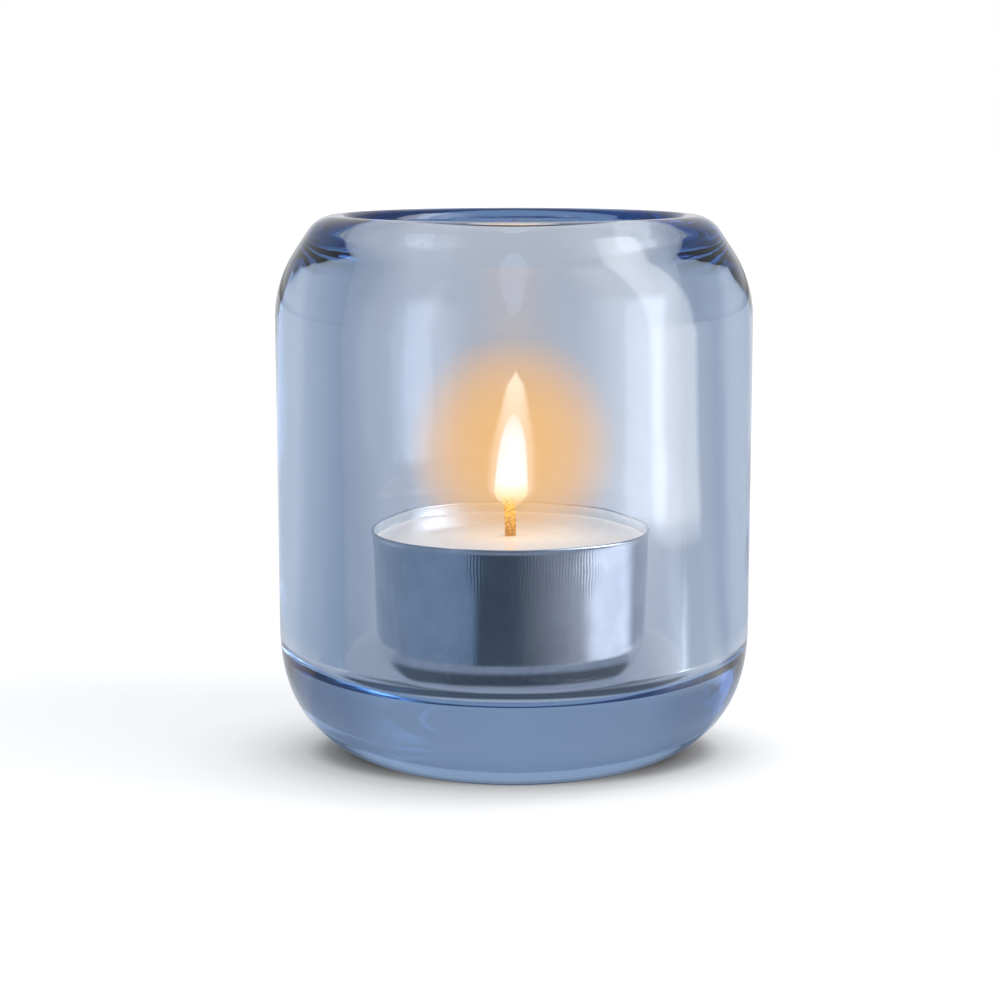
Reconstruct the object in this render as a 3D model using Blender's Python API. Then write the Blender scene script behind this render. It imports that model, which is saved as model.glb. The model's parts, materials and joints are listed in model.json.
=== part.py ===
"""A thick-walled glass candle holder with a lit-candle insert: an aluminium cup, its wax, the wick
and the sheet-metal sustainer that stands the wick up. Metres, +Z up, origin at the centre of the
flat base. Every piece but the wick is turned about Z."""

import math

import bmesh
import bpy
from mathutils import Vector

MM = 0.001
GAP = 0.3 * MM  # clearance between two pieces that touch on the real object

# Glass holder, outside
GLASS_RADIUS = 32.2 * MM
GLASS_HEIGHT = 74.0 * MM
BASE_RADIUS = 12.0 * MM  # the flat that it stands on
CORNER_HEIGHT = 19.5 * MM  # height of the round corner between base and wall
CORNER_POWER = 2.55  # superellipse power of that corner: 2 is an ellipse
SHOULDER_ARC = 16.0 * MM  # radius of the curve from the wall into the shoulder
SHOULDER_TAPER = 33.5  # degrees from upright, where the shoulder runs straight
RIM_RADIUS = 26.3 * MM  # where the shoulder's line meets the top
LIP_OUTER_ROUND = 4.5 * MM

# Glass holder, inside
BORE_RADIUS = 23.5 * MM
MOUTH_RADIUS = 21.0 * MM  # where the inner shoulder's line meets the top
INNER_ARC = 11.0 * MM
INNER_TAPER = 32.0  # degrees from upright
LIP_INNER_ROUND = 1.5 * MM
FLOOR_HEIGHT = 12.4 * MM
FLOOR_CORNER_WIDTH = 7.5 * MM  # the floor meets the wall in a quarter of an ellipse
FLOOR_CORNER_HEIGHT = 3.2 * MM

# Aluminium cup of the candle
CUP_RADIUS = 19.0 * MM  # over the rolled rim
CUP_HEIGHT = 19.6 * MM
CUP_WALL = 0.4 * MM
CUP_DRAFT = 0.5 * MM  # how much narrower the wall is at its foot
CUP_CORNER = 4.5 * MM
RIM_ROLL = 0.45 * MM  # radius of the rolled rim
PANEL_RADIUS = 8.5 * MM  # the panel pressed up in the middle of the cup's floor
PANEL_RISE = 0.6 * MM

# Wax, wick and sustainer
WAX_BELOW_RIM = 1.5 * MM
WICK_RADIUS = 0.85 * MM
WICK_SHOWS = 5.2 * MM  # how far it stands out of the wax
WICK_LEAN = -0.5 * MM  # how far its burnt tip has curled to one side
SUSTAINER_RADIUS = 6.5 * MM
SUSTAINER_SHEET = 0.3 * MM
COLLAR_WALL = 0.5 * MM
COLLAR_HEIGHT = 3.5 * MM

CANDLE_OFFSET = -0.5 * MM  # the candle stands loose, a little to one side of the middle

# Places that follow from the sizes above
CUP_BASE = FLOOR_HEIGHT + GAP
CUP_TOP = CUP_BASE + CUP_HEIGHT
PANEL_TOP = CUP_BASE + PANEL_RISE + CUP_WALL
SUSTAINER_BASE = PANEL_TOP + GAP
COLLAR_TOP = SUSTAINER_BASE + COLLAR_HEIGHT
WAX_TOP = CUP_TOP - WAX_BELOW_RIM
WICK_TOP = WAX_TOP + WICK_SHOWS

SEGMENTS = 48  # round the larger turned pieces
SMALL_SEGMENTS = 24  # round the sustainer


def clear_scene():
    for item in list(bpy.data.objects):
        bpy.data.objects.remove(item)


def arc(centre, radius, start, end, steps):
    """Points of an arc in the (radius, height) plane, with angles in degrees from +X."""
    points = []
    for i in range(steps + 1):
        angle = math.radians(start + (end - start) * i / steps)
        points.append((centre[0] + radius * math.cos(angle), centre[1] + radius * math.sin(angle)))
    return points


def rounded(before, corner, after, radius, steps):
    """The corner between two straight runs, rounded to a radius."""
    corner = Vector(corner)
    back = (Vector(before) - corner).normalized()
    ahead = (Vector(after) - corner).normalized()
    half = back.angle(ahead) / 2
    reach = radius / math.tan(half)
    centre = corner + (back + ahead).normalized() * (radius / math.sin(half))
    first = corner + back * reach - centre
    last = corner + ahead * reach - centre
    turn = first.angle_signed(last)
    points = []
    for i in range(steps + 1):
        angle = -turn * i / steps
        swung = Vector((
            first.x * math.cos(angle) - first.y * math.sin(angle),
            first.x * math.sin(angle) + first.y * math.cos(angle),
        ))
        points.append(tuple(centre + swung))
    return points


def taper_start(bottom_radius, arc_radius, taper, top_radius):
    """Height of the arc's centre for a wall that curves in and then runs straight to the top."""
    angle = math.radians(taper)
    arc_drop = arc_radius * (1 - math.cos(angle))
    straight_rise = (bottom_radius - top_radius - arc_drop) / math.tan(angle)
    return GLASS_HEIGHT - straight_rise - arc_radius * math.sin(angle)


def material(name, colour, roughness, metallic=0.0, transmission=0.0):
    made = bpy.data.materials.new(name)
    made.use_nodes = True
    shader = made.node_tree.nodes["Principled BSDF"]
    shader.inputs["Base Color"].default_value = (*colour, 1.0)
    shader.inputs["Roughness"].default_value = roughness
    shader.inputs["Metallic"].default_value = metallic
    shader.inputs["Transmission Weight"].default_value = transmission
    return made


def turned(name, outline, segments, finish):
    """A solid turned about Z from an outline of (radius, height) points. An outline that starts
    and ends on the axis is a plain solid, and any other outline is closed into a ring."""
    shape = bmesh.new()
    corners = [shape.verts.new((radius, 0.0, height)) for radius, height in outline]
    edges = [shape.edges.new(pair) for pair in zip(corners, corners[1:])]
    if outline[0][0] > 0:
        edges.append(shape.edges.new((corners[-1], corners[0])))
    bmesh.ops.spin(
        shape,
        geom=corners + edges,
        cent=(0, 0, 0),
        axis=(0, 0, 1),
        angle=2 * math.pi,
        steps=segments,
        use_merge=True,
    )
    bmesh.ops.remove_doubles(shape, verts=shape.verts, dist=0.001 * MM)
    bmesh.ops.recalc_face_normals(shape, faces=shape.faces)
    mesh = bpy.data.meshes.new(name)
    shape.to_mesh(mesh)
    shape.free()
    mesh.shade_smooth()
    mesh.set_sharp_from_angle(angle=math.radians(40))
    mesh.materials.append(finish)
    made = bpy.data.objects.new(name, mesh)
    bpy.context.scene.collection.objects.link(made)
    return made


def glass_outside():
    points = [(0.0, 0.0)]
    steps = 10
    for i in range(steps + 1):
        turn = math.pi / 2 * i / steps
        reach = math.sin(turn) ** (2 / CORNER_POWER)
        rise = 1 - math.cos(turn) ** (2 / CORNER_POWER)
        points.append((BASE_RADIUS + (GLASS_RADIUS - BASE_RADIUS) * reach, CORNER_HEIGHT * rise))
    start = taper_start(GLASS_RADIUS, SHOULDER_ARC, SHOULDER_TAPER, RIM_RADIUS)
    shoulder = arc((GLASS_RADIUS - SHOULDER_ARC, start), SHOULDER_ARC, 0, SHOULDER_TAPER, 6)
    top_inner = (MOUTH_RADIUS, GLASS_HEIGHT)
    lip = rounded(shoulder[-1], (RIM_RADIUS, GLASS_HEIGHT), top_inner, LIP_OUTER_ROUND, 5)
    return points + shoulder + lip


def glass_inside():
    start = taper_start(BORE_RADIUS, INNER_ARC, INNER_TAPER, MOUTH_RADIUS)
    shoulder = arc((BORE_RADIUS - INNER_ARC, start), INNER_ARC, INNER_TAPER, 0, 5)
    top_outer = (RIM_RADIUS, GLASS_HEIGHT)
    lip = rounded(top_outer, (MOUTH_RADIUS, GLASS_HEIGHT), shoulder[0], LIP_INNER_ROUND, 4)
    corner = []
    steps = 8
    for i in range(steps + 1):
        turn = math.pi / 2 * i / steps
        inward = FLOOR_CORNER_WIDTH * (1 - math.cos(turn))
        above = FLOOR_CORNER_HEIGHT * (1 - math.sin(turn))
        corner.append((BORE_RADIUS - inward, FLOOR_HEIGHT + above))
    return lip + shoulder + corner + [(0.0, FLOOR_HEIGHT)]


def make_glass_holder():
    finish = material("blue_glass", (0.62, 0.72, 0.86), 0.02, transmission=1.0)
    return turned("glass_holder", glass_outside() + glass_inside(), SEGMENTS, finish)


def cup_wall_radius(height, inset):
    """Radius of the cup's wall at a height, inset from its outer face: the draft narrows it."""
    share = (CUP_TOP - height) / CUP_HEIGHT
    return CUP_RADIUS - RIM_ROLL / 2 - CUP_DRAFT * share - inset


def cup_floor(inset):
    """The cup's rounded foot and pressed floor, from the wall to the axis, inset from outside."""
    base = CUP_BASE + inset
    corner = CUP_CORNER - inset
    foot = cup_wall_radius(CUP_BASE + CUP_CORNER, 0)
    points = arc((foot - CUP_CORNER, CUP_BASE + CUP_CORNER), corner, 0, -90, 5)
    points.append((PANEL_RADIUS + PANEL_RISE, base))
    points.append((PANEL_RADIUS, base + PANEL_RISE))
    points.append((0.0, base + PANEL_RISE))
    return points


def make_tealight_cup():
    roll_centre = (cup_wall_radius(CUP_TOP, CUP_WALL / 2), CUP_TOP - RIM_ROLL)
    roll_foot = CUP_TOP - 2.2 * RIM_ROLL
    outside = [(cup_wall_radius(roll_foot, 0), roll_foot)]
    inside = [(cup_wall_radius(roll_foot, CUP_WALL), roll_foot)]
    roll = arc(roll_centre, RIM_ROLL, -40, 220, 7)
    outline = cup_floor(0)[::-1] + outside + roll + inside + cup_floor(CUP_WALL)
    finish = material("cup_aluminium", (0.80, 0.82, 0.85), 0.32, metallic=1.0)
    return turned("tealight_cup", outline, SEGMENTS, finish)


def make_wax():
    inset = CUP_WALL + GAP
    wick_hole = WICK_RADIUS + GAP
    collar_hole = wick_hole + COLLAR_WALL + GAP
    outer_floor = [point for point in cup_floor(inset)[::-1] if point[0] > PANEL_RADIUS]
    over_sustainer = SUSTAINER_BASE + SUSTAINER_SHEET + GAP
    outline = [
        (wick_hole, COLLAR_TOP + GAP),
        (collar_hole, COLLAR_TOP + GAP),
        (collar_hole, over_sustainer),
        (SUSTAINER_RADIUS + GAP, over_sustainer),
        (SUSTAINER_RADIUS + GAP, PANEL_TOP + GAP),
        (PANEL_RADIUS, PANEL_TOP + GAP),
    ]
    outline += outer_floor
    outline += [(cup_wall_radius(WAX_TOP, inset), WAX_TOP), (wick_hole, WAX_TOP)]
    return turned("wax", outline, SEGMENTS, material("candle_wax", (0.93, 0.91, 0.86), 0.35))


def make_wick_sustainer():
    bore = WICK_RADIUS + GAP
    collar = bore + COLLAR_WALL
    sheet_top = SUSTAINER_BASE + SUSTAINER_SHEET
    outline = [
        (bore, SUSTAINER_BASE),
        (SUSTAINER_RADIUS, SUSTAINER_BASE),
        (SUSTAINER_RADIUS, sheet_top),
        (collar + COLLAR_WALL, sheet_top),
        (collar, sheet_top + COLLAR_WALL),
        (collar, COLLAR_TOP),
        (bore, COLLAR_TOP),
    ]
    finish = material("tinned_steel", (0.70, 0.71, 0.72), 0.3, metallic=1.0)
    return turned("wick_sustainer", outline, SMALL_SEGMENTS, finish)


def make_wick():
    """A round cord, straight up to the wax and then curling to one side where it burns."""
    points = [(0.0, SUSTAINER_BASE), (0.0, WAX_TOP - GAP)]
    steps = 8
    for i in range(1, steps + 1):
        share = i / steps
        points.append((WICK_LEAN * share**2, WAX_TOP + WICK_SHOWS * share))
    line = bpy.data.curves.new("wick", "CURVE")
    line.dimensions = "3D"
    line.bevel_depth = WICK_RADIUS
    line.bevel_resolution = 2
    line.use_fill_caps = True
    spline = line.splines.new("POLY")
    spline.points.add(len(points) - 1)
    for point, (across, height) in zip(spline.points, points):
        point.co = (across, 0.0, height, 1.0)
    line.materials.append(material("cotton_wick", (0.16, 0.10, 0.06), 0.9))
    made = bpy.data.objects.new("wick", line)
    bpy.context.scene.collection.objects.link(made)
    return made


clear_scene()
make_glass_holder()
candle = bpy.data.objects.new("candle", None)
candle.location.x = CANDLE_OFFSET
bpy.context.scene.collection.objects.link(candle)
for piece in (make_tealight_cup(), make_wax(), make_wick_sustainer(), make_wick()):
    piece.parent = candle
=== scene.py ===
import json
import math

import bmesh
import bpy
from mathutils import Matrix, Vector, noise

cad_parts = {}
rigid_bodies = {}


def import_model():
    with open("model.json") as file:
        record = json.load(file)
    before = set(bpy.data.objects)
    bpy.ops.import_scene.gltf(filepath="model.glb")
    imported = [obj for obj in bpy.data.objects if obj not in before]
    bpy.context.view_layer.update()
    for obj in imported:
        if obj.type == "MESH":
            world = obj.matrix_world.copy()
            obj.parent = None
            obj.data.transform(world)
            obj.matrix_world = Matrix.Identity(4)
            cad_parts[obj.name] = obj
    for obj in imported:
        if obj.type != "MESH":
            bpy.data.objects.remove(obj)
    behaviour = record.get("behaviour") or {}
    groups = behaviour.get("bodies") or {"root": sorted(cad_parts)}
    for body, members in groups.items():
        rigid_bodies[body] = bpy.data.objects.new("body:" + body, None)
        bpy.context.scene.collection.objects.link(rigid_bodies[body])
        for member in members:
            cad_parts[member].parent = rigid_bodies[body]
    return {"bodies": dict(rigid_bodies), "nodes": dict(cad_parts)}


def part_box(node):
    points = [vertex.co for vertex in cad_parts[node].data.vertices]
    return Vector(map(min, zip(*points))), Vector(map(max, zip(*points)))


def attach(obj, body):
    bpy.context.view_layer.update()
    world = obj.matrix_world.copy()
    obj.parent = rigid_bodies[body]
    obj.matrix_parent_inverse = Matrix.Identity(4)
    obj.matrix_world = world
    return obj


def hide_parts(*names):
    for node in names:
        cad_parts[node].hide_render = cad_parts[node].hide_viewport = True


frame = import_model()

scene = bpy.context.scene
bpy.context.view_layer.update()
mm = 0.001


# making objects and meshes
def linkObject(name, data, body, replaces=()):
    made = bpy.data.objects.new(name, data)
    scene.collection.objects.link(made)
    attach(made, body)
    if replaces:
        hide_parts(*replaces)
    return made


def arcPoints(centre, radius, start, end, steps):  # angles in degrees from the outward direction
    points = []
    for i in range(steps + 1):
        angle = math.radians(start + (end - start) * i / steps)
        points.append((centre[0] + radius * math.cos(angle), centre[1] + radius * math.sin(angle)))
    return points


def roundedCorner(before, corner, after, radius, steps):
    corner = Vector(corner)
    back = (Vector(before) - corner).normalized()
    ahead = (Vector(after) - corner).normalized()
    half = back.angle(ahead) / 2
    centre = corner + (back + ahead).normalized() * (radius / math.sin(half))
    first = corner + back * (radius / math.tan(half)) - centre
    last = corner + ahead * (radius / math.tan(half)) - centre
    points = []
    for i in range(steps + 1):
        share = i / steps
        angle = first.angle(last)
        mixed = first * math.sin((1 - share) * angle) + last * math.sin(share * angle)
        points.append(tuple(centre + mixed / math.sin(angle)))
    return points


def turnedMesh(name, outline, segments, centre=(0, 0), warp=None, closeRing=False):
    # a solid turned about Z through centre; warp may nudge each point by its angle and place
    shape = bmesh.new()
    rings = []
    for radius, height in outline:
        if radius < 1e-7:
            rings.append([shape.verts.new((centre[0], centre[1], height))])
            continue
        ring = []
        for i in range(segments):
            angle = 2 * math.pi * i / segments
            r, z = warp(angle, radius, height) if warp else (radius, height)
            ring.append(shape.verts.new((centre[0] + r * math.cos(angle), centre[1] + r * math.sin(angle), z)))
        rings.append(ring)
    pairs = list(zip(rings, rings[1:]))
    if closeRing:
        pairs.append((rings[-1], rings[0]))
    for lower, upper in pairs:
        for i in range(segments):
            j = (i + 1) % segments
            if len(lower) == 1 and len(upper) == 1:
                break
            if len(lower) == 1:
                shape.faces.new((lower[0], upper[j], upper[i]))
            elif len(upper) == 1:
                shape.faces.new((lower[i], lower[j], upper[0]))
            else:
                shape.faces.new((lower[i], lower[j], upper[j], upper[i]))
    bmesh.ops.recalc_face_normals(shape, faces=shape.faces)
    mesh = bpy.data.meshes.new(name)
    shape.to_mesh(mesh)
    shape.free()
    mesh.shade_smooth()
    return mesh


# making materials
def addNode(tree, kind, **settings):
    node = tree.nodes.new(kind)
    for key, value in settings.items():
        if hasattr(node, key):
            setattr(node, key, value)
        else:
            node.inputs[key.replace("_", " ")].default_value = value
    return node


def newMaterial(name, **values):
    made = bpy.data.materials.new(name)
    made.use_nodes = True
    shader = made.node_tree.nodes["Principled BSDF"]
    for key, value in values.items():
        shader.inputs[key.replace("_", " ")].default_value = value
    return made, made.node_tree, shader


def mathNode(tree, operation, first, second=None):
    node = tree.nodes.new("ShaderNodeMath")
    node.operation = operation
    for socket, value in zip(node.inputs, (first, second)):
        if value is None:
            continue
        if isinstance(value, (int, float)):
            socket.default_value = value
        else:
            tree.links.new(value, socket)
    return node.outputs[0]


def mapRange(tree, value, fromLow, fromHigh, toLow, toHigh, smooth=False):
    node = tree.nodes.new("ShaderNodeMapRange")
    if smooth:
        node.interpolation_type = "SMOOTHSTEP"
    numbers = (("From Min", fromLow), ("From Max", fromHigh), ("To Min", toLow), ("To Max", toHigh))
    for key, number in numbers:
        node.inputs[key].default_value = number
    tree.links.new(value, node.inputs["Value"])
    return node.outputs["Result"]


def colourRamp(tree, value, stops):
    node = tree.nodes.new("ShaderNodeValToRGB")
    ramp = node.color_ramp
    while len(ramp.elements) < len(stops):
        ramp.elements.new(0.5)
    for element, (position, colour) in zip(ramp.elements, stops):
        element.position = position
        element.color = (*colour, 1.0)
    tree.links.new(value, node.inputs["Fac"])
    return node.outputs["Color"]


# effects that several materials share
def newGroup(name, inputs, outputs):
    group = bpy.data.node_groups.new(name, "ShaderNodeTree")
    for label, kind, value in inputs:
        socket = group.interface.new_socket(name=label, in_out="INPUT", socket_type=kind)
        socket.default_value = value
    for label, kind in outputs:
        group.interface.new_socket(name=label, in_out="OUTPUT", socket_type=kind)
    return group, group.nodes.new("NodeGroupInput"), group.nodes.new("NodeGroupOutput")


def makeMottleGroup():  # soft cloudy variation between two colours
    group, given, result = newGroup(
        "mottle",
        [
            ("Light", "NodeSocketColor", (0.9, 0.9, 0.9, 1)),
            ("Dark", "NodeSocketColor", (0.8, 0.8, 0.8, 1)),
            ("Scale", "NodeSocketFloat", 300.0),
        ],
        [("Color", "NodeSocketColor"), ("Mask", "NodeSocketFloat")],
    )
    place = group.nodes.new("ShaderNodeTexCoord")
    cloud = addNode(group, "ShaderNodeTexNoise", Detail=5.0, Roughness=0.6)
    group.links.new(place.outputs["Object"], cloud.inputs["Vector"])
    group.links.new(given.outputs["Scale"], cloud.inputs["Scale"])
    mask = mapRange(group, cloud.outputs["Fac"], 0.35, 0.65, 0.0, 1.0, smooth=True)
    mix = addNode(group, "ShaderNodeMix", data_type="RGBA")
    group.links.new(mask, mix.inputs["Factor"])
    group.links.new(given.outputs["Light"], mix.inputs[6])
    group.links.new(given.outputs["Dark"], mix.inputs[7])
    group.links.new(mix.outputs[2], result.inputs["Color"])
    group.links.new(mask, result.inputs["Mask"])
    return group


def makeDrawLineGroup():  # upright streaks left where sheet metal was drawn into a cup
    group, given, result = newGroup(
        "drawLines",
        [("Fineness", "NodeSocketFloat", 4000.0), ("Length", "NodeSocketFloat", 0.03)],
        [("Streaks", "NodeSocketFloat")],
    )
    place = group.nodes.new("ShaderNodeTexCoord")
    parts = group.nodes.new("ShaderNodeSeparateXYZ")
    group.links.new(place.outputs["Object"], parts.inputs[0])
    joined = group.nodes.new("ShaderNodeCombineXYZ")
    group.links.new(parts.outputs["X"], joined.inputs["X"])
    group.links.new(parts.outputs["Y"], joined.inputs["Y"])
    short = mathNode(group, "MULTIPLY", parts.outputs["Z"], given.outputs["Length"])
    group.links.new(short, joined.inputs["Z"])
    streak = addNode(group, "ShaderNodeTexNoise", Detail=3.0, Roughness=0.55)
    group.links.new(joined.outputs[0], streak.inputs["Vector"])
    group.links.new(given.outputs["Fineness"], streak.inputs["Scale"])
    group.links.new(streak.outputs["Fac"], result.inputs["Streaks"])
    return group


mottleGroup = makeMottleGroup()
drawLineGroup = makeDrawLineGroup()


def useGroup(tree, group, **values):
    node = tree.nodes.new("ShaderNodeGroup")
    node.node_tree = group
    for key, value in values.items():
        node.inputs[key].default_value = value
    return node


def addBump(tree, shader, height, distance, strength=1.0):
    bump = addNode(tree, "ShaderNodeBump", Strength=strength, Distance=distance)
    tree.links.new(height, bump.inputs["Height"])
    tree.links.new(bump.outputs["Normal"], shader.inputs["Normal"])


camera = {
    "distance": 301.0 * mm,  # from the glass's axis, level
    "height": 86.1 * mm,
    "pitch": 9.0,  # degrees below level
    "lens": 80.2,
    "shiftX": -0.014,
    "shiftY": -0.024,
}


def makeCamera():
    data = bpy.data.cameras.new("camera")
    data.lens = camera["lens"]
    data.sensor_width = 36
    data.shift_x = camera["shiftX"]
    data.shift_y = camera["shiftY"]
    data.clip_start = 10 * mm
    made = bpy.data.objects.new("camera", data)
    made.location = (0, -camera["distance"], camera["height"])
    made.rotation_euler = (math.radians(90 - camera["pitch"]), 0, 0)
    scene.collection.objects.link(made)
    scene.camera = made


makeCamera()
print("camera made")


glassLow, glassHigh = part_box("glass_holder")
glass = {
    "radius": glassHigh.x,
    "height": glassHigh.z,
    "baseRadius": 12.0 * mm,
    "cornerHeight": 19.5 * mm,
    "cornerPower": 2.55,
    "shoulderArc": 16.0 * mm,
    "shoulderTaper": 33.5,  # degrees from upright
    "rimRadius": 26.3 * mm,
    "lipOuterRound": 4.5 * mm,
    "boreRadius": 23.5 * mm,
    "mouthRadius": 21.0 * mm,
    "innerArc": 11.0 * mm,
    "innerTaper": 32.0,
    "lipInnerRound": 1.5 * mm,
    "floorHeight": 12.4 * mm,
    "floorCornerWidth": 7.5 * mm,
    "floorCornerHeight": 3.2 * mm,
    "segments": 320,
    "tint": (0.786, 0.79, 0.818, 1.0),
    "melt": (0.045, 0.38, 0.73, 1.0),  # colour that the melt lets through
    "depth": 20.0,  # how strongly the melt takes up light, per metre
    "ripple": 0.05 * mm,  # unevenness of the pressed inside
}


def shoulderStart(bottomRadius, arcRadius, taper, topRadius):
    angle = math.radians(taper)
    straight = (bottomRadius - topRadius - arcRadius * (1 - math.cos(angle))) / math.tan(angle)
    return glass["height"] - straight - arcRadius * math.sin(angle)


def glassOutside():
    points = [(0.0, 0.0), (glass["baseRadius"] * 0.5, 0.0)]
    steps = 90
    for i in range(steps + 1):
        turn = math.pi / 2 * i / steps
        reach = math.sin(turn) ** (2 / glass["cornerPower"])
        rise = 1 - math.cos(turn) ** (2 / glass["cornerPower"])
        spread = glass["radius"] - glass["baseRadius"]
        points.append((glass["baseRadius"] + spread * reach, glass["cornerHeight"] * rise))
    start = shoulderStart(glass["radius"], glass["shoulderArc"], glass["shoulderTaper"], glass["rimRadius"])
    rows = 18
    for i in range(1, rows):
        points.append((glass["radius"], glass["cornerHeight"] + (start - glass["cornerHeight"]) * i / rows))
    centre = (glass["radius"] - glass["shoulderArc"], start)
    shoulder = arcPoints(centre, glass["shoulderArc"], 0, glass["shoulderTaper"], 48)
    rim = (glass["rimRadius"], glass["height"])
    lip = roundedCorner(shoulder[-1], rim, (glass["mouthRadius"], glass["height"]), glass["lipOuterRound"], 24)
    return points + shoulder + lip


def glassInside():
    start = shoulderStart(glass["boreRadius"], glass["innerArc"], glass["innerTaper"], glass["mouthRadius"])
    centre = (glass["boreRadius"] - glass["innerArc"], start)
    shoulder = arcPoints(centre, glass["innerArc"], glass["innerTaper"], 0, 48)
    mouth = (glass["mouthRadius"], glass["height"])
    lip = roundedCorner((glass["rimRadius"], glass["height"]), mouth, shoulder[0], glass["lipInnerRound"], 20)
    points = lip + shoulder
    top = glass["floorHeight"] + glass["floorCornerHeight"]
    rows = 26
    for i in range(1, rows):
        points.append((glass["boreRadius"], start + (top - start) * i / rows))
    steps = 40
    for i in range(steps + 1):
        turn = math.pi / 2 * i / steps
        inward = glass["floorCornerWidth"] * (1 - math.cos(turn))
        above = glass["floorCornerHeight"] * (1 - math.sin(turn))
        points.append((glass["boreRadius"] - inward, glass["floorHeight"] + above))
    flat = glass["boreRadius"] - glass["floorCornerWidth"]
    rows = 12
    for i in range(1, rows):
        points.append((flat * (1 - i / rows), glass["floorHeight"]))
    return points + [(0.0, glass["floorHeight"])]


def unevenGlass(angle, radius, height):  # the melt sets a little uneven inside, and runs in long waves
    x, y = radius * math.cos(angle), radius * math.sin(angle)
    insideWall = radius < glass["boreRadius"] + 0.1 * mm and height > glass["floorHeight"] - 0.1 * mm
    if not insideWall:
        return radius, height
    wave = noise.noise(Vector((x * 95, y * 95, height * 60)))
    fine = noise.noise(Vector((x * 260 + 5, y * 260, height * 170)))
    push = glass["ripple"] * (wave + 0.35 * fine)
    if height < glass["floorHeight"] + 0.1 * mm:
        return radius, height + push * 0.6
    return radius + push, height


def makeGlassMaterial():
    made, tree, shader = newMaterial(
        "blueGlass",
        Base_Color=glass["tint"],
        Roughness=0.0,
        IOR=1.5,
        Transmission_Weight=1.0,
        Metallic=0.0,
    )
    melt = addNode(tree, "ShaderNodeVolumeAbsorption", Color=glass["melt"], Density=glass["depth"])
    tree.links.new(melt.outputs["Volume"], tree.nodes["Material Output"].inputs["Volume"])
    place = tree.nodes.new("ShaderNodeTexCoord")
    ripple = addNode(tree, "ShaderNodeTexNoise", Scale=70.0, Detail=2.0)
    tree.links.new(place.outputs["Object"], ripple.inputs["Vector"])
    addBump(tree, shader, ripple.outputs["Fac"], 0.25 * mm, 0.35)
    return made


def makeGlassHolder():
    mesh = turnedMesh("glassHolder", glassOutside() + glassInside(), glass["segments"], warp=unevenGlass)
    mesh.materials.append(makeGlassMaterial())
    return linkObject("glassHolder", mesh, "holder", ["glass_holder"])


makeGlassHolder()
print("glass holder made")


cupLow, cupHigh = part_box("tealight_cup")
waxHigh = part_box("wax")[1]
wickLow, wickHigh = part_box("wick")
candleX = (cupLow.x + cupHigh.x) / 2
candleCentre = (candleX, 0.0)

cup = {
    "rimRadius": (cupHigh.x - cupLow.x) / 2,
    "bottom": cupLow.z,
    "top": cupHigh.z,
    "draft": 0.5 * mm,
    "sheet": 0.2 * mm,
    "rimRoll": 0.2 * mm,
    "foot": 4.4 * mm,
    "panelRadius": 8.5 * mm,
    "panelRise": 0.6 * mm,
    "panelStep": 0.8 * mm,
    "beadRise": 0.06 * mm,
    "segments": 320,
    "dent": 0.035 * mm,
    "roughness": (0.11, 0.17),
    "flutes": 290.0,  # radians of wave per radian round the wall
    "fluteWander": 7.0,
    "fluteHeight": 0.36,
    "fluteReach": (8.5 * mm, 2.0 * mm),  # they fade in between these depths under the rim
    "fineHeight": 0.22,
    "broadHeight": 0.2,
    "relief": 0.02 * mm,  # the height that 1 stands for in the three above
}


def cupWall(height, inset):
    share = (cup["top"] - height) / (cup["top"] - cup["bottom"])
    return cup["rimRadius"] - cup["rimRoll"] * 0.8 - cup["draft"] * share - inset


def cupFloor(inset):
    base = cup["bottom"] + inset
    footCentre = (cupWall(cup["bottom"] + cup["foot"], 0) - cup["foot"], cup["bottom"] + cup["foot"])
    points = arcPoints(footCentre, cup["foot"] - inset, 0, -90, 16)
    rings = 3  # shallow pressed rings round the raised panel
    ringSpan = footCentre[0] - cup["panelRadius"]
    for ring in range(rings * 8):
        share = (ring + 1) / (rings * 8)
        bead = cup["beadRise"] * (1 - math.cos(2 * math.pi * rings * share))
        points.append((footCentre[0] - ringSpan * share, base + bead))
    for i in range(1, 9):
        share = i / 8
        rise = cup["panelRise"] * (3 - 2 * share) * share**2
        points.append((cup["panelRadius"] - cup["panelStep"] * share, base + rise))
    points.append((0.0, base + cup["panelRise"]))
    return points


def dentedCup(angle, radius, height):  # thin soft sheet is never quite round
    x, y = math.cos(angle), math.sin(angle)
    wave = noise.noise(Vector((x * 2.2, y * 2.2, height * 110)))
    grow = max(0.0, min(1.0, (radius - 15 * mm) / (3 * mm)))
    return radius - cup["dent"] * (0.5 + 0.5 * wave) * grow, height


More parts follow.
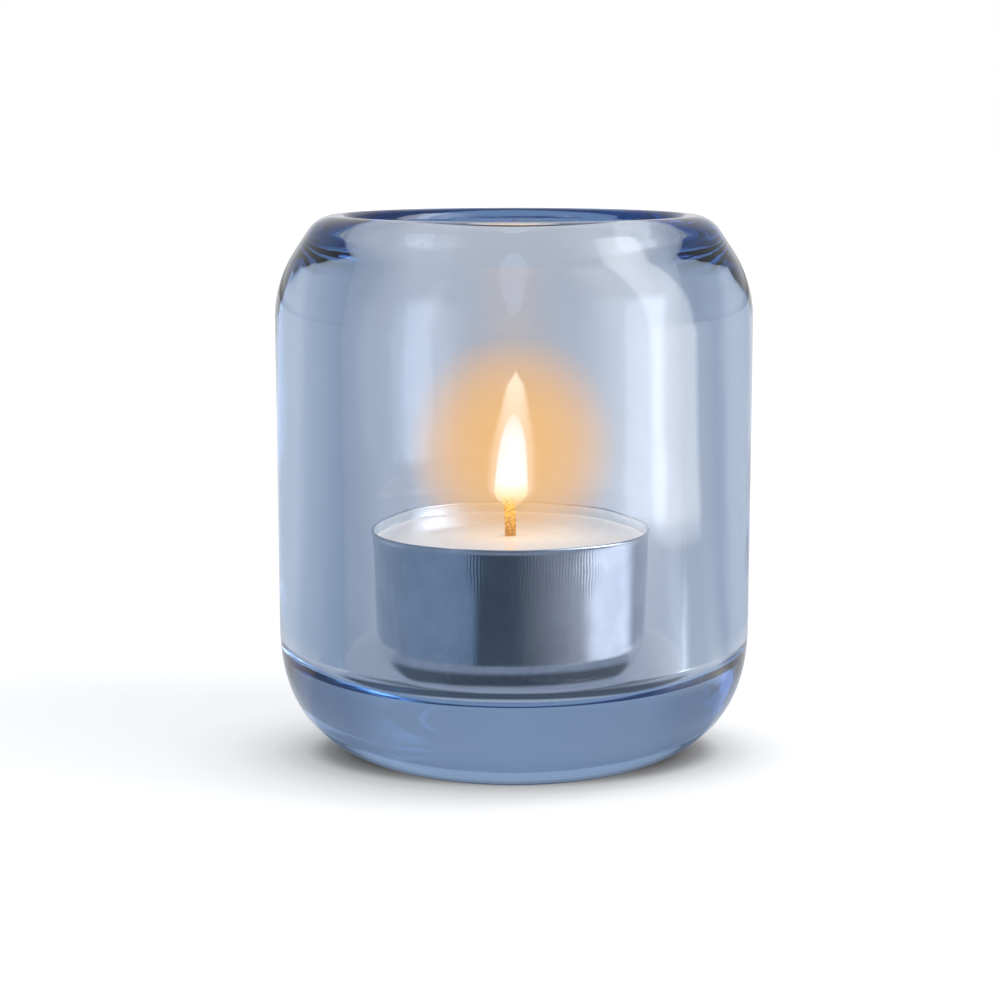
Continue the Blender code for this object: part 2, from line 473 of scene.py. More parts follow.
def makeCupMaterial():
    made, tree, shader = newMaterial("cupAluminium", Metallic=1.0)
    tint = useGroup(tree, mottleGroup, Light=(0.90, 0.91, 0.93, 1), Dark=(0.80, 0.81, 0.84, 1), Scale=180.0)
    tree.links.new(tint.outputs["Color"], shader.inputs["Base Color"])
    fine = useGroup(tree, drawLineGroup, Fineness=5200.0, Length=0.02)
    broad = useGroup(tree, drawLineGroup, Fineness=1400.0, Length=0.05)
    rough = mapRange(tree, broad.outputs["Streaks"], 0.3, 0.7, *cup["roughness"])
    tree.links.new(rough, shader.inputs["Roughness"])
    # drawn flutes, strongest under the rim
    place = tree.nodes.new("ShaderNodeTexCoord")
    parts = tree.nodes.new("ShaderNodeSeparateXYZ")
    tree.links.new(place.outputs["Object"], parts.inputs[0])
    sideways = mathNode(tree, "SUBTRACT", parts.outputs["X"], candleX)
    angle = mathNode(tree, "ARCTAN2", parts.outputs["Y"], sideways)
    wander = addNode(tree, "ShaderNodeTexNoise", Scale=420.0, Detail=2.0)
    tree.links.new(place.outputs["Object"], wander.inputs["Vector"])
    drift = mathNode(tree, "MULTIPLY", wander.outputs["Fac"], cup["fluteWander"])
    turns = mathNode(tree, "MULTIPLY", angle, cup["flutes"])
    flutes = mathNode(tree, "SINE", mathNode(tree, "ADD", turns, drift))
    patches = addNode(tree, "ShaderNodeTexNoise", Scale=90.0, Detail=1.0)
    tree.links.new(place.outputs["Object"], patches.inputs["Vector"])
    patchy = mapRange(tree, patches.outputs["Fac"], 0.35, 0.6, 0.55, 1.0, smooth=True)
    low, high = (cup["top"] - depth for depth in cup["fluteReach"])
    below = mapRange(tree, parts.outputs["Z"], low, high, 0.0, 1.0, smooth=True)
    flutes = mathNode(tree, "MULTIPLY", mathNode(tree, "MULTIPLY", flutes, patchy), below)
    height = mathNode(tree, "MULTIPLY", flutes, cup["fluteHeight"])
    for lines, share in ((fine, cup["fineHeight"]), (broad, cup["broadHeight"])):
        height = mathNode(tree, "ADD", height, mathNode(tree, "MULTIPLY", lines.outputs["Streaks"], share))
    addBump(tree, shader, height, cup["relief"], 1.0)
    return made


def makeCup():
    rollCentre = (cup["rimRadius"] - cup["rimRoll"], cup["top"] - cup["rimRoll"])
    rollFoot = cup["top"] - 0.9 * mm
    wallFoot = cup["bottom"] + cup["foot"]
    rows = 16
    outside = []
    for i in range(1, rows + 1):
        height = wallFoot + (rollFoot - wallFoot) * i / rows
        outside.append((cupWall(height, 0), height))
    roll = arcPoints(rollCentre, cup["rimRoll"], -50, 200, 14)
    inside = [(radius - cup["sheet"], height) for radius, height in outside[::-1]]
    outline = cupFloor(0)[::-1] + outside + roll + inside + cupFloor(cup["sheet"])
    mesh = turnedMesh("tealightCup", outline, cup["segments"], candleCentre, dentedCup)
    mesh.materials.append(makeCupMaterial())
    return linkObject("tealightCup", mesh, "tealight", ["tealight_cup"])


makeCup()
print("cup made")


wax = {
    "top": waxHigh.z,
    "wallGap": 0.03 * mm,
    "meniscus": 0.28 * mm,
    "meniscusReach": 1.1 * mm,
    "wickHole": 0.87 * mm,
    # strength of the painted glow in the wax, which stands in for the flame's light
    "glow": 0.74,
    "paintedGlowStops": [(0.0, (0.74, 0.60, 0.44)), (0.25, (0.56, 0.52, 0.46)), (1.0, (0.62, 0.62, 0.62))],
    "sustainerGap": 0.2 * mm,
    "collarRadius": 2.05 * mm,
    "segments": 192,
}


def waxSurface(radius, edge):
    atWall = math.exp(-(edge - radius) / (wax["meniscusReach"] * 0.45))
    atWick = math.exp(-(radius - wax["wickHole"]) / (wax["meniscusReach"] * 0.6))
    return wax["top"] - wax["meniscus"] + wax["meniscus"] * (0.9 * atWall + 1.0 * atWick)


def makeWaxMaterial():
    made, tree, shader = newMaterial(
        "candleWax",
        Roughness=0.35,
        IOR=1.44,
        Subsurface_Weight=0.55,
        Subsurface_Radius=(2.4 * mm, 1.7 * mm, 1.1 * mm),
        Subsurface_Scale=1.0,
        Coat_Weight=0.7,
        Coat_Roughness=0.06,
        Coat_IOR=1.44,
    )
    tint = useGroup(tree, mottleGroup, Light=(0.95, 0.93, 0.89, 1), Dark=(0.90, 0.87, 0.81, 1), Scale=260.0)
    tree.links.new(tint.outputs["Color"], shader.inputs["Base Color"])
    place = tree.nodes.new("ShaderNodeTexCoord")
    swell = addNode(tree, "ShaderNodeTexNoise", Scale=160.0, Detail=2.0)
    tree.links.new(place.outputs["Object"], swell.inputs["Vector"])
    addBump(tree, shader, swell.outputs["Fac"], 0.08 * mm, 0.6)
    # painted glow: emission stands in for the flame's light shining through the wax, brightest and warmest
    # near the wick
    parts = tree.nodes.new("ShaderNodeSeparateXYZ")
    tree.links.new(place.outputs["Object"], parts.inputs[0])
    across = mathNode(tree, "POWER", mathNode(tree, "SUBTRACT", parts.outputs["X"], candleX), 2.0)
    back = mathNode(tree, "POWER", parts.outputs["Y"], 2.0)
    radius = mathNode(tree, "SQRT", mathNode(tree, "ADD", across, back))
    outward = mapRange(tree, radius, 0.0, cup["rimRadius"], 0.0, 1.0)
    tree.links.new(colourRamp(tree, outward, wax["paintedGlowStops"]), shader.inputs["Emission Color"])
    shader.inputs["Emission Strength"].default_value = wax["glow"]
    return made


def makeWax():
    inset = cup["sheet"] + wax["wallGap"]
    edge = cupWall(wax["top"], inset)
    sustainerLow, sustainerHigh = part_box("wick_sustainer")
    sustainerEdge = (sustainerHigh.x - sustainerLow.x) / 2 + wax["sustainerGap"]
    collarTop = sustainerHigh.z + 0.3 * mm
    hole = wax["wickHole"]
    outline = [(hole, collarTop), (wax["collarRadius"], collarTop)]
    outline += [(wax["collarRadius"], sustainerLow.z + 1.3 * mm), (sustainerEdge, sustainerLow.z + 0.5 * mm)]
    outline += [point for point in cupFloor(inset)[::-1] if point[0] > sustainerEdge]
    rows = 14
    wallFoot = cup["bottom"] + cup["foot"]
    for i in range(1, rows):
        height = wallFoot + (wax["top"] - 0.4 * mm - wallFoot) * i / rows
        outline.append((cupWall(height, inset), height))
    rows = 60
    for i in range(rows + 1):
        share = i / rows
        eased = share * share * (3 - 2 * share)
        radius = edge + (hole - edge) * eased
        outline.append((radius, waxSurface(radius, edge)))
    mesh = turnedMesh("wax", outline, wax["segments"], candleCentre, closeRing=True)
    mesh.materials.append(makeWaxMaterial())
    return linkObject("waxFill", mesh, "tealight", ["wax"])


makeWax()
print("wax made")


wick = {
    "bottom": wickLow.z,
    "top": wickHigh.z,
    "radius": 0.82 * mm,
    "strands": 4,
    "strandRadius": 0.34 * mm,
    "pitch": 3.4 * mm,  # height of one turn of a strand
    "lean": 0.25 * mm,
    # strength of the wick's emission: its own ember glow at the burning end, painted flame light lower down
    "glow": 3.8,
    # the caps at its burning end: across, back and up from the tip, and radius, in capUnits
    "capUnit": 0.72 * mm,
    "caps": [
        (-0.62, 0.05, -0.55, 0.50),
        (0.55, -0.1, -0.42, 0.46),
        (0.0, 0.35, -0.75, 0.52),
        (0.05, -0.35, -0.8, 0.45),
    ],
    "capRoughness": 0.28,
}


def wickCentre(height):  # straight in the wax, then leaning a little
    share = max(0.0, (height - wax["top"]) / (wick["top"] - wax["top"]))
    return Vector((candleX - wick["lean"] * share * share, 0, height))


def sweepTube(shape, path, radius, sides):  # a round strand along the path
    rings = []
    side = Vector((1, 0, 0))
    for i, point in enumerate(path):
        ahead = path[min(i + 1, len(path) - 1)] - path[max(i - 1, 0)]
        ahead.normalize()
        side = (side - ahead * side.dot(ahead)).normalized()
        across = ahead.cross(side)
        ring = []
        for k in range(sides):
            angle = 2 * math.pi * k / sides
            ring.append(shape.verts.new(point + (side * math.cos(angle) + across * math.sin(angle)) * radius))
        rings.append(ring)
    for lower, upper in zip(rings, rings[1:]):
        for k in range(sides):
            after = (k + 1) % sides
            shape.faces.new((lower[k], lower[after], upper[after], upper[k]))
    shape.faces.new(rings[0][::-1])
    shape.faces.new(rings[-1])


def makeWickMaterial():
    made, tree, shader = newMaterial("burntCotton", Roughness=0.85)
    place = tree.nodes.new("ShaderNodeTexCoord")
    parts = tree.nodes.new("ShaderNodeSeparateXYZ")
    tree.links.new(place.outputs["Object"], parts.inputs[0])
    along = mapRange(tree, parts.outputs["Z"], wax["top"] - 0.5 * mm, wick["top"], 0.0, 1.0)
    char = colourRamp(tree, along, [
        (0.0, (0.42, 0.27, 0.10)),
        (0.3, (0.10, 0.05, 0.015)),
        (0.55, (0.16, 0.07, 0.012)),
        (1.0, (0.05, 0.02, 0.008)),
    ])
    tree.links.new(char, shader.inputs["Base Color"])
    speckle = addNode(tree, "ShaderNodeTexNoise", Scale=2600.0, Detail=3.0)
    tree.links.new(place.outputs["Object"], speckle.inputs["Vector"])
    spots = mapRange(tree, speckle.outputs["Fac"], 0.42, 0.6, 0.25, 1.0)
    # emission up the wick: the burning end's own ember glow, and below the flame painted flame light on the
    # cotton
    glow = colourRamp(tree, along, [
        (0.0, (0.10, 0.03, 0.0)),
        (0.35, (0.45, 0.16, 0.01)),
        (0.75, (0.95, 0.40, 0.02)),
        (1.0, (1.0, 0.50, 0.04)),
    ])
    shader.inputs["Emission Strength"].default_value = wick["glow"]
    fade = addNode(tree, "ShaderNodeMix", data_type="RGBA", blend_type="MULTIPLY")
    fade.inputs["Factor"].default_value = 1.0
    tree.links.new(glow, fade.inputs[6])
    tree.links.new(spots, fade.inputs[7])
    tree.links.new(fade.outputs[2], shader.inputs["Emission Color"])
    addBump(tree, shader, speckle.outputs["Fac"], 0.05 * mm, 0.8)
    return made


def makeWick(finish):
    shape = bmesh.new()
    steps = 120
    orbit = wick["radius"] - wick["strandRadius"]
    for turn in (1, -1):
        for strand in range(wick["strands"]):
            start = 2 * math.pi * (strand + (0.5 if turn < 0 else 0)) / wick["strands"]
            path = []
            for i in range(steps + 1):
                height = wick["bottom"] + (wick["top"] - 0.35 * mm - wick["bottom"]) * i / steps
                angle = start + turn * 2 * math.pi * (height - wick["bottom"]) / wick["pitch"]
                weave = orbit * (1 + 0.12 * math.cos(wick["strands"] * angle))
                path.append(wickCentre(height) + Vector((math.cos(angle), math.sin(angle), 0)) * weave)
            sweepTube(shape, path, wick["strandRadius"] * 0.82, 8)
    rows = 40
    tall = wick["top"] - 0.5 * mm - wick["bottom"]
    core = [wickCentre(wick["bottom"] + tall * i / rows) for i in range(rows + 1)]
    sweepTube(shape, core, orbit, 10)
    mesh = bpy.data.meshes.new("wickBraid")
    shape.to_mesh(mesh)
    shape.free()
    mesh.shade_smooth()
    mesh.materials.append(finish)
    return linkObject("wickBraid", mesh, "tealight", ["wick"])


def makeWickTip(finish):  # carbon caps that mushroom out at the burning end
    shape = bmesh.new()
    tip = wickCentre(wick["top"])
    for x, y, z, size in wick["caps"]:
        centre = tip + Vector((x, y, z)) * wick["capUnit"]
        made = bmesh.ops.create_icosphere(shape, subdivisions=4, radius=size * wick["capUnit"])
        for vert in made["verts"]:
            rough = noise.noise(vert.co * 2600 + Vector((x, y, z)) * 9)
            vert.co = centre + vert.co * (1 + wick["capRoughness"] * rough)
    mesh = bpy.data.meshes.new("wickTip")
    shape.to_mesh(mesh)
    shape.free()
    mesh.shade_smooth()
    mesh.materials.append(finish)
    return linkObject("wickTip", mesh, "tealight")


wickFinish = makeWickMaterial()
makeWick(wickFinish)
makeWickTip(wickFinish)
print("wick made")


def finishSustainer():  # its shape is right already, so it only gets its metal
    made, tree, shader = newMaterial("tinnedSteel", Metallic=1.0, Roughness=0.3)
    tint = useGroup(tree, mottleGroup, Light=(0.74, 0.75, 0.76, 1), Dark=(0.60, 0.61, 0.62, 1), Scale=700.0)
    tree.links.new(tint.outputs["Color"], shader.inputs["Base Color"])
    lines = useGroup(tree, drawLineGroup, Fineness=3000.0, Length=0.1)
    addBump(tree, shader, lines.outputs["Streaks"], 0.01 * mm, 0.6)
    node = frame["nodes"]["wick_sustainer"]
    for slot in node.material_slots:
        slot.material = made


finishSustainer()
print("sustainer finished")


flame = {
    "bottom": wick["top"] - 1.6 * mm,
    "coreTop": wick["top"] + 11.3 * mm,
    "tip": wick["top"] + 17.0 * mm,
    "coreRadius": 2.3 * mm,
    "lean": 0.8 * mm,  # how far the draught pushes its tip over
    "segments": 64,
    "bodyPowers": (2.8, 0.6),  # how late and how bluntly the core closes at its top
    "coreFoot": 0.2,  # share of the core's height where it swells out
    "coreColour": (0.68, 0.84, 1.0),
    "coreStrength": 4.4,
    "sheathColour": (1.0, 0.88, 0.70, 1.0),
    "sheathStrength": 2.0,
    "sheathDensity": 650.0,  # per metre
    "sheathReach": 5 * mm,
    # half width of the sheath over its height, as a share of its reach
    "sheathWidth": [(0.0, 0.44), (0.12, 0.78), (0.42, 0.76), (0.68, 0.50), (0.9, 0.30), (1.0, 0.02)],
    "glowColour": (1.0, 0.53, 0.18, 1.0),
    "glowStrength": 1.5,
    "glowDensity": 140.0,
    "glowSize": (15.5 * mm, 15.5 * mm, 17.0 * mm),
    "glowCentre": wick["top"] + 6.6 * mm,
    "glowFoot": (-14.0 * mm, -8.0 * mm),  # it thins out between these heights under its centre
    "lampPower": 0.0055,
    "lampColour": (1.0, 0.80, 0.58),
    "lampRadius": 2.0 * mm,
}


def flameCentre(height):
    share = (height - flame["bottom"]) / (flame["tip"] - flame["bottom"])
    return candleX + flame["lean"] * share


def makeFlameCore():
    rows = 60
    points = [(0.0, flame["bottom"])]
    for i in range(1, rows):
        share = i / rows
        late, blunt = flame["bodyPowers"]
        body = (1 - share**late) ** blunt
        foot = 1 - (1 - min(1.0, share / flame["coreFoot"])) ** 2.4
        height = flame["bottom"] + (flame["coreTop"] - flame["bottom"]) * share
        points.append((flame["coreRadius"] * body * foot, height))
    points.append((0.0, flame["coreTop"]))
    mesh = turnedMesh("flameCore", points, flame["segments"])
    for vert in mesh.vertices:
        vert.co.x += flameCentre(vert.co.z)
    made, tree, shader = newMaterial("flameCore", Base_Color=(0, 0, 0, 1), Roughness=1.0)
    shader.inputs["Specular IOR Level"].default_value = 0.0
    place = tree.nodes.new("ShaderNodeTexCoord")
    parts = tree.nodes.new("ShaderNodeSeparateXYZ")
    tree.links.new(place.outputs["Object"], parts.inputs[0])
    along = mapRange(tree, parts.outputs["Z"], flame["bottom"], flame["coreTop"], 0.0, 1.0)
    colours = [(0.0, (1.0, 0.55, 0.2)), (0.16, (1.0, 0.72, 0.42)), (0.3, flame["coreColour"])]
    tree.links.new(colourRamp(tree, along, colours), shader.inputs["Emission Color"])
    shader.inputs["Emission Strength"].default_value = flame["coreStrength"]
    fade = colourRamp(tree, along, [(0.0, (0, 0, 0)), (0.12, (0.3,) * 3), (0.3, (1, 1, 1))])
    tree.links.new(fade, shader.inputs["Alpha"])
    mesh.materials.append(made)
    core = linkObject("flameCore", mesh, "tealight")
    core.visible_shadow = False
    core.visible_glossy = False


def stageVolume(name, location, size, build):  # soft light in the air, not a piece
    shape = bmesh.new()
    bmesh.ops.create_icosphere(shape, subdivisions=4, radius=1.0)
    for vert in shape.verts:
        vert.co = Vector((vert.co.x * size[0], vert.co.y * size[1], vert.co.z * size[2]))
    mesh = bpy.data.meshes.new(name)
    shape.to_mesh(mesh)
    shape.free()
    made = bpy.data.materials.new(name)
    made.use_nodes = True
    tree = made.node_tree
    tree.nodes.remove(tree.nodes["Principled BSDF"])
    place = tree.nodes.new("ShaderNodeTexCoord")
    density, colour, strength = build(tree, place.outputs["Object"])
    paths = tree.nodes.new("ShaderNodeLightPath")  # left out of reflections
    direct = mapRange(tree, paths.outputs["Glossy Depth"], 0.0, 1.0, 1.0, 0.0)
    density = mathNode(tree, "MULTIPLY", density, direct)
    absorb = addNode(tree, "ShaderNodeVolumeAbsorption", Color=(0, 0, 0, 1))
    emit = addNode(tree, "ShaderNodeEmission", Color=colour)
    tree.links.new(density, absorb.inputs["Density"])
    tree.links.new(mathNode(tree, "MULTIPLY", density, strength), emit.inputs["Strength"])
    both = tree.nodes.new("ShaderNodeAddShader")
    tree.links.new(absorb.outputs[0], both.inputs[0])
    tree.links.new(emit.outputs[0], both.inputs[1])
    tree.links.new(both.outputs[0], tree.nodes["Material Output"].inputs["Volume"])
    mesh.materials.append(made)
    cloud = bpy.data.objects.new(name, mesh)
    scene.collection.objects.link(cloud)
    cloud.parent = frame["bodies"]["tealight"]
    cloud.matrix_world = Matrix.Translation(location)
    cloud.visible_shadow = False
    cloud.visible_glossy = False


def glowAir(tree, place):  # gone at its edge, and thin towards the wax
    scaled = addNode(tree, "ShaderNodeVectorMath", operation="DIVIDE")
    tree.links.new(place, scaled.inputs[0])
    scaled.inputs[1].default_value = flame["glowSize"]
    length = addNode(tree, "ShaderNodeVectorMath", operation="LENGTH")
    tree.links.new(scaled.outputs[0], length.inputs[0])
    ball = mathNode(tree, "SUBTRACT", 1.0, mathNode(tree, "POWER", length.outputs["Value"], 2.0))
    ball = mathNode(tree, "POWER", mathNode(tree, "MAXIMUM", ball, 0.0), 1.5)
    parts = tree.nodes.new("ShaderNodeSeparateXYZ")
    tree.links.new(place, parts.inputs[0])
    thin = mapRange(tree, parts.outputs["Z"], *flame["glowFoot"], 0.2, 1.0, smooth=True)
    density = mathNode(tree, "MULTIPLY", mathNode(tree, "MULTIPLY", ball, thin), flame["glowDensity"])
    return density, flame["glowColour"], flame["glowStrength"]


def sheathAir(tree, place):  # the paler sheath round the core, narrowing to the tip
    parts = tree.nodes.new("ShaderNodeSeparateXYZ")
    tree.links.new(place, parts.inputs[0])
    half = (flame["tip"] - flame["bottom"]) / 2
    along = mapRange(tree, parts.outputs["Z"], -half, half, 0.0, 1.0)
    width = colourRamp(tree, along, [(spot, (value,) * 3) for spot, value in flame["sheathWidth"]])
    leaning = mathNode(tree, "MULTIPLY", parts.outputs["Z"], flame["lean"] / (2 * half))
    across = mathNode(tree, "POWER", mathNode(tree, "SUBTRACT", parts.outputs["X"], leaning), 2.0)
    back = mathNode(tree, "POWER", parts.outputs["Y"], 2.0)
    radius = mathNode(tree, "SQRT", mathNode(tree, "ADD", across, back))
    share = mathNode(tree, "DIVIDE", radius, mathNode(tree, "MULTIPLY", width, flame["sheathReach"]))
    soft = mapRange(tree, share, 0.4, 1.0, 1.0, 0.0, smooth=True)
    ends = mapRange(tree, along, 0.02, 0.2, 0.0, 1.0, smooth=True)
    thick = mapRange(tree, along, 0.5, 0.95, flame["sheathDensity"], flame["sheathDensity"] * 3)
    density = mathNode(tree, "MULTIPLY", mathNode(tree, "MULTIPLY", soft, ends), thick)
    return density, flame["sheathColour"], flame["sheathStrength"]


def makeFlameLight():
    middle = Vector((flameCentre(flame["glowCentre"]), 0, flame["glowCentre"]))
    stageVolume("glow", middle, flame["glowSize"], glowAir)
    height = (flame["tip"] + flame["bottom"]) / 2
    size = (flame["sheathReach"], flame["sheathReach"], (flame["tip"] - flame["bottom"]) / 2 * 1.05)
    stageVolume("sheath", Vector((flameCentre(height), 0, height)), size, sheathAir)
    data = bpy.data.lights.new("flameLight", "POINT")
    data.energy = flame["lampPower"]
    data.color = flame["lampColour"]
    data.shadow_soft_size = flame["lampRadius"]
    lamp = bpy.data.objects.new("flameLight", data)
    scene.collection.objects.link(lamp)
    lamp.parent = frame["bodies"]["tealight"]
    lamp.matrix_world = Matrix.Translation(middle)
    lamp.visible_glossy = False
    lamp.visible_transmission = False


makeFlameCore()
makeFlameLight()
print("flame made")


studio = {
    "floorSize": 12.0,
    "floorGlow": 0.72,  # what the floor gives by itself, where the camera sees it
    "floorColour": (0.50, 0.50, 0.50, 1),
    # the painted shadow under the glass, drawn into the floor's glow and colour rather than cast: millimetres
    # from the middle, brightness
    "paintedShadow": [(0, 0.06), (22, 0.07), (26, 0.28), (29, 0.62), (34, 0.83), (40, 0.95), (48, 1.0)],
    "shadowDepth": 1.55,  # how much narrower the painted shadow is from front to back
    # painted light and shade of the floor close round the glass, as seen in it, with a dark ring of painted
    # shadow round the foot in front: millimetres from the middle, colour
    "nearFront": [
        (0, (0.62, 0.65, 0.70)),
        (15, (0.62, 0.65, 0.70)),
        (18, (0.10, 0.12, 0.15)),
        (27, (0.10, 0.12, 0.15)),
        (33, (0.46, 0.52, 0.60)),
        (60, (0.52, 0.57, 0.64)),
    ],
    "reachFront": (45 * mm, 70 * mm),
    "nearBehind": [
        (0, (0.62, 0.65, 0.70)),
        (90, (0.80, 0.82, 0.86)),
    ],
    "reachBehind": (80 * mm, 105 * mm),
    "halves": (-3 * mm, 4 * mm),  # the floor in front passes into the floor behind between these
    "darkest": (0.34, 0.38, 0.44, 1),  # the backdrop is nowhere darker than this
    # brightness round the object: degrees from the camera's side, towards +X
    "around": [
        (-180, (1.0, 1.0, 1.0)),
        (-167, (0.95, 0.96, 0.98)),
        (-156, (0.88, 0.90, 0.93)),
        (-146, (0.68, 0.72, 0.78)),
        (-118, (0.48, 0.55, 0.64)),
        (-90, (0.34, 0.44, 0.56)),
        (-27, (0.30, 0.41, 0.55)),
        (-23, (0.09, 0.125, 0.16)),
        (4, (0.10, 0.13, 0.165)),
        (30, (0.38, 0.40, 0.44)),
        (55, (0.68, 0.68, 0.70)),
        (118, (0.48, 0.54, 0.62)),
        (146, (0.60, 0.65, 0.72)),
        (156, (0.86, 0.88, 0.91)),
        (167, (0.95, 0.96, 0.98)),
        (180, (1.0, 1.0, 1.0)),
    ],
    "horizon": 0.4,  # the backdrop is dimmer right at the floor
    "riseStart": 3.0,  # degrees above level where it begins to darken again
    "riseEnd": 11.0,
    "high": 0.72,
    "overhead": 0.8,
    # degrees round, half width, softness, top, softness of the top, strength, how near on the floor it starts
    "softboxes": [
        (79, 14, 5, 60, 9, 3.4, 190 * mm),
        (64, 22, 28, 60, 12, 2.4, 190 * mm),
        (-41, 4, 5, 50, 20, 0.8, 190 * mm),
        (80, 21, 16, 1, 1, 1.25, 50 * mm),
    ],
}


def softWindow(tree, value, centre, half, softness):
    away = mathNode(tree, "ABSOLUTE", mathNode(tree, "SUBTRACT", value, math.radians(centre)))
    start, end = math.radians(half - softness / 2), math.radians(half + softness / 2)
    return mapRange(tree, away, start, end, 1.0, 0.0, smooth=True)


def makeStudioGroup():  # the light round the object, as colour and as softboxes, from a direction
    group, given, result = newGroup(
        "studioLight",
        [
            ("Direction", "NodeSocketVector", (0, 0, 1)),
            ("Elevation", "NodeSocketFloat", 0.0),
            ("Distance", "NodeSocketFloat", 10.0),
        ],
        [("Around", "NodeSocketColor"), ("Softboxes", "NodeSocketFloat")],
    )
    parts = group.nodes.new("ShaderNodeSeparateXYZ")
    group.links.new(given.outputs["Direction"], parts.inputs[0])
    forward = mathNode(group, "MULTIPLY", parts.outputs["Y"], -1.0)
    azimuth = mathNode(group, "ARCTAN2", parts.outputs["X"], forward)
    along = mapRange(group, azimuth, -math.pi, math.pi, 0.0, 1.0)
    stops = [((degrees + 180) / 360, colour) for degrees, colour in studio["around"]]
    group.links.new(colourRamp(group, along, stops), result.inputs["Around"])
    total = None
    for centre, half, softness, top, topSoftness, strength, nearest in studio["softboxes"]:
        across = softWindow(group, azimuth, centre, half, softness)
        start, end = math.radians(top - topSoftness), math.radians(top)
        below = mapRange(group, given.outputs["Elevation"], start, end, 1.0, 0.0, smooth=True)
        away = mapRange(group, given.outputs["Distance"], nearest, nearest * 1.3, 0.0, strength, smooth=True)
        box = mathNode(group, "MULTIPLY", mathNode(group, "MULTIPLY", across, below), away)
        total = box if total is None else mathNode(group, "ADD", total, box)
    group.links.new(total, result.inputs["Softboxes"])
    return group


def makeFloor(studioGroup):
    shape = bmesh.new()
    bmesh.ops.create_grid(shape, x_segments=1, y_segments=1, size=studio["floorSize"] / 2)
    mesh = bpy.data.meshes.new("floor")
    shape.to_mesh(mesh)
    shape.free()
    made, tree, shader = newMaterial("paleFloor", Base_Color=studio["floorColour"], Roughness=0.9)
    shader.inputs["Specular IOR Level"].default_value = 0.0
    shader.inputs["Emission Strength"].default_value = studio["floorGlow"]
    place = tree.nodes.new("ShaderNodeTexCoord")
    # painted shadow round the glass's foot, darkening both the floor's glow and its colour
    squash = addNode(tree, "ShaderNodeVectorMath", operation="MULTIPLY")
    tree.links.new(place.outputs["Object"], squash.inputs[0])
    squash.inputs[1].default_value = (1, studio["shadowDepth"], 0)
    squashed = addNode(tree, "ShaderNodeVectorMath", operation="LENGTH")
    tree.links.new(squash.outputs[0], squashed.inputs[0])
    reach = studio["paintedShadow"][-1][0]
    shadowShare = mapRange(tree, squashed.outputs["Value"], 0.0, reach * mm, 0.0, 1.0)
    paintedShadow = colourRamp(tree, shadowShare, [(spot / reach, (value,) * 3) for spot, value in studio["paintedShadow"]])
    tree.links.new(paintedShadow, shader.inputs["Emission Color"])
    tint = addNode(tree, "ShaderNodeMix", data_type="RGBA", blend_type="MULTIPLY")
    tint.inputs["Factor"].default_value = 1.0
    tree.links.new(paintedShadow, tint.inputs[6])
    tint.inputs[7].default_value = studio["floorColour"]
    tree.links.new(tint.outputs[2], shader.inputs["Base Color"])
    # seen in the glass and the metal, the floor carries the studio's light
    light = useGroup(tree, studioGroup)
    tree.links.new(place.outputs["Object"], light.inputs["Direction"])
    length = addNode(tree, "ShaderNodeVectorMath", operation="LENGTH")
    tree.links.new(place.outputs["Object"], length.inputs[0])
    tree.links.new(length.outputs["Value"], light.inputs["Distance"])
    # painted light and shade near the glass, passing into the studio's light further out
    halves = []
    for side in ("Front", "Behind"):
        stops, reach = studio["near" + side], studio["reach" + side]
        last = stops[-1][0]
        share = mapRange(tree, length.outputs["Value"], 0.0, last * mm, 0.0, 1.0)
        nearLightAndShade = colourRamp(tree, share, [(spot / last, colour) for spot, colour in stops])
        far = mapRange(tree, length.outputs["Value"], *reach, 0.0, 1.0, smooth=True)
        half = addNode(tree, "ShaderNodeMix", data_type="RGBA")
        tree.links.new(far, half.inputs["Factor"])
        tree.links.new(nearLightAndShade, half.inputs[6])
        tree.links.new(light.outputs["Around"], half.inputs[7])
        halves.append(half.outputs[2])
    parts = tree.nodes.new("ShaderNodeSeparateXYZ")
    tree.links.new(place.outputs["Object"], parts.inputs[0])
    behind = mapRange(tree, parts.outputs["Y"], *studio["halves"], 0.0, 1.0, smooth=True)
    mix = addNode(tree, "ShaderNodeMix", data_type="RGBA")
    tree.links.new(behind, mix.inputs["Factor"])
    tree.links.new(halves[0], mix.inputs[6])
    tree.links.new(halves[1], mix.inputs[7])
    total = addNode(tree, "ShaderNodeMix", data_type="RGBA", blend_type="ADD")
    total.inputs["Factor"].default_value = 1.0
    tree.links.new(mix.outputs[2], total.inputs[6])
    tree.links.new(light.outputs["Softboxes"], total.inputs[7])
    reflected = tree.nodes.new("ShaderNodeEmission")
    tree.links.new(total.outputs[2], reflected.inputs["Color"])
    paths = tree.nodes.new("ShaderNodeLightPath")
    either = tree.nodes.new("ShaderNodeMixShader")
    tree.links.new(paths.outputs["Is Camera Ray"], either.inputs[0])
    tree.links.new(reflected.outputs[0], either.inputs[1])
    tree.links.new(shader.outputs[0], either.inputs[2])
    tree.links.new(either.outputs[0], tree.nodes["Material Output"].inputs["Surface"])
    made.cycles.emission_sampling = "NONE"
    mesh.materials.append(made)
    floor = bpy.data.objects.new("floor", mesh)
    floor.location.z = glassLow.z - 0.02 * mm
    scene.collection.objects.link(floor)


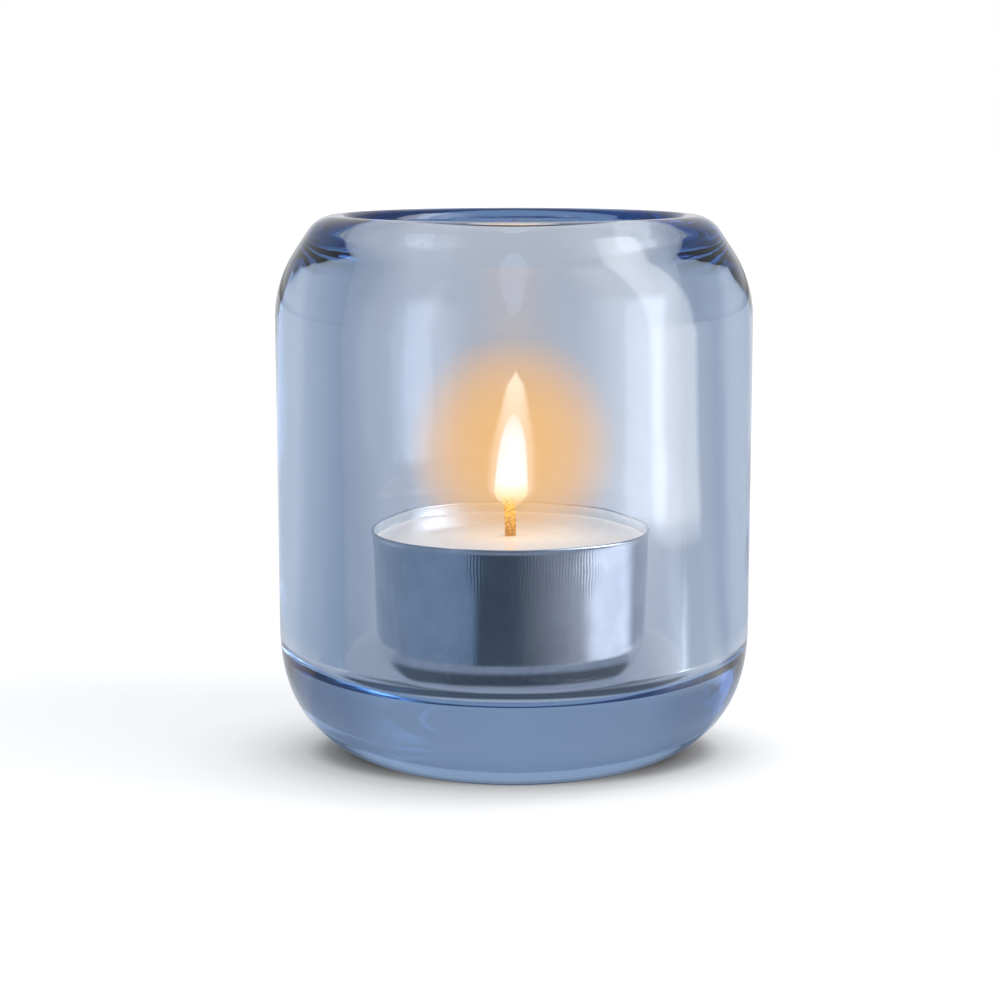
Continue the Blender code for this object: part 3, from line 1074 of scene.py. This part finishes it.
def makeWorld(studioGroup):
    world = bpy.data.worlds.new("studio")
    scene.world = world
    world.use_nodes = True
    tree = world.node_tree
    place = tree.nodes.new("ShaderNodeTexCoord")
    parts = tree.nodes.new("ShaderNodeSeparateXYZ")
    tree.links.new(place.outputs["Generated"], parts.inputs[0])
    elevation = mathNode(tree, "ARCSINE", parts.outputs["Z"])
    light = useGroup(tree, studioGroup)
    tree.links.new(place.outputs["Generated"], light.inputs["Direction"])
    tree.links.new(elevation, light.inputs["Elevation"])
    rise = colourRamp(tree, mapRange(tree, elevation, 0.0, math.pi / 2, 0.0, 1.0), [
        (0.0, (studio["horizon"],) * 3),
        (studio["riseStart"] / 90, (1.0, 1.0, 1.0)),
        (studio["riseEnd"] / 90, (studio["high"],) * 3),
        (0.6, (studio["high"],) * 3),
        (0.9, (studio["overhead"],) * 3),
    ])
    product = addNode(tree, "ShaderNodeMix", data_type="RGBA", blend_type="MULTIPLY")
    product.inputs["Factor"].default_value = 1.0
    lifted = addNode(tree, "ShaderNodeMix", data_type="RGBA", blend_type="LIGHTEN")
    lifted.inputs["Factor"].default_value = 1.0
    tree.links.new(light.outputs["Around"], lifted.inputs[6])
    lifted.inputs[7].default_value = studio["darkest"]
    tree.links.new(lifted.outputs[2], product.inputs[6])
    tree.links.new(rise, product.inputs[7])
    total = addNode(tree, "ShaderNodeMix", data_type="RGBA", blend_type="ADD")
    total.inputs["Factor"].default_value = 1.0
    tree.links.new(product.outputs[2], total.inputs[6])
    tree.links.new(light.outputs["Softboxes"], total.inputs[7])
    tree.links.new(total.outputs[2], tree.nodes["Background"].inputs["Color"])
    # looked at straight, the backdrop is plain white
    plain = addNode(tree, "ShaderNodeBackground", Color=(1, 1, 1, 1))
    paths = tree.nodes.new("ShaderNodeLightPath")
    either = tree.nodes.new("ShaderNodeMixShader")
    tree.links.new(paths.outputs["Is Camera Ray"], either.inputs[0])
    tree.links.new(tree.nodes["Background"].outputs[0], either.inputs[1])
    tree.links.new(plain.outputs[0], either.inputs[2])
    tree.links.new(either.outputs[0], tree.nodes["World Output"].inputs["Surface"])


studioGroup = makeStudioGroup()
makeFloor(studioGroup)
makeWorld(studioGroup)
scene.view_settings.view_transform = "Standard"
scene.cycles.volume_step_rate = 0.25
scene.cycles.max_bounces = 24
scene.cycles.glossy_bounces = 12
scene.cycles.transmission_bounces = 24
scene.cycles.transparent_max_bounces = 24
print("studio made")
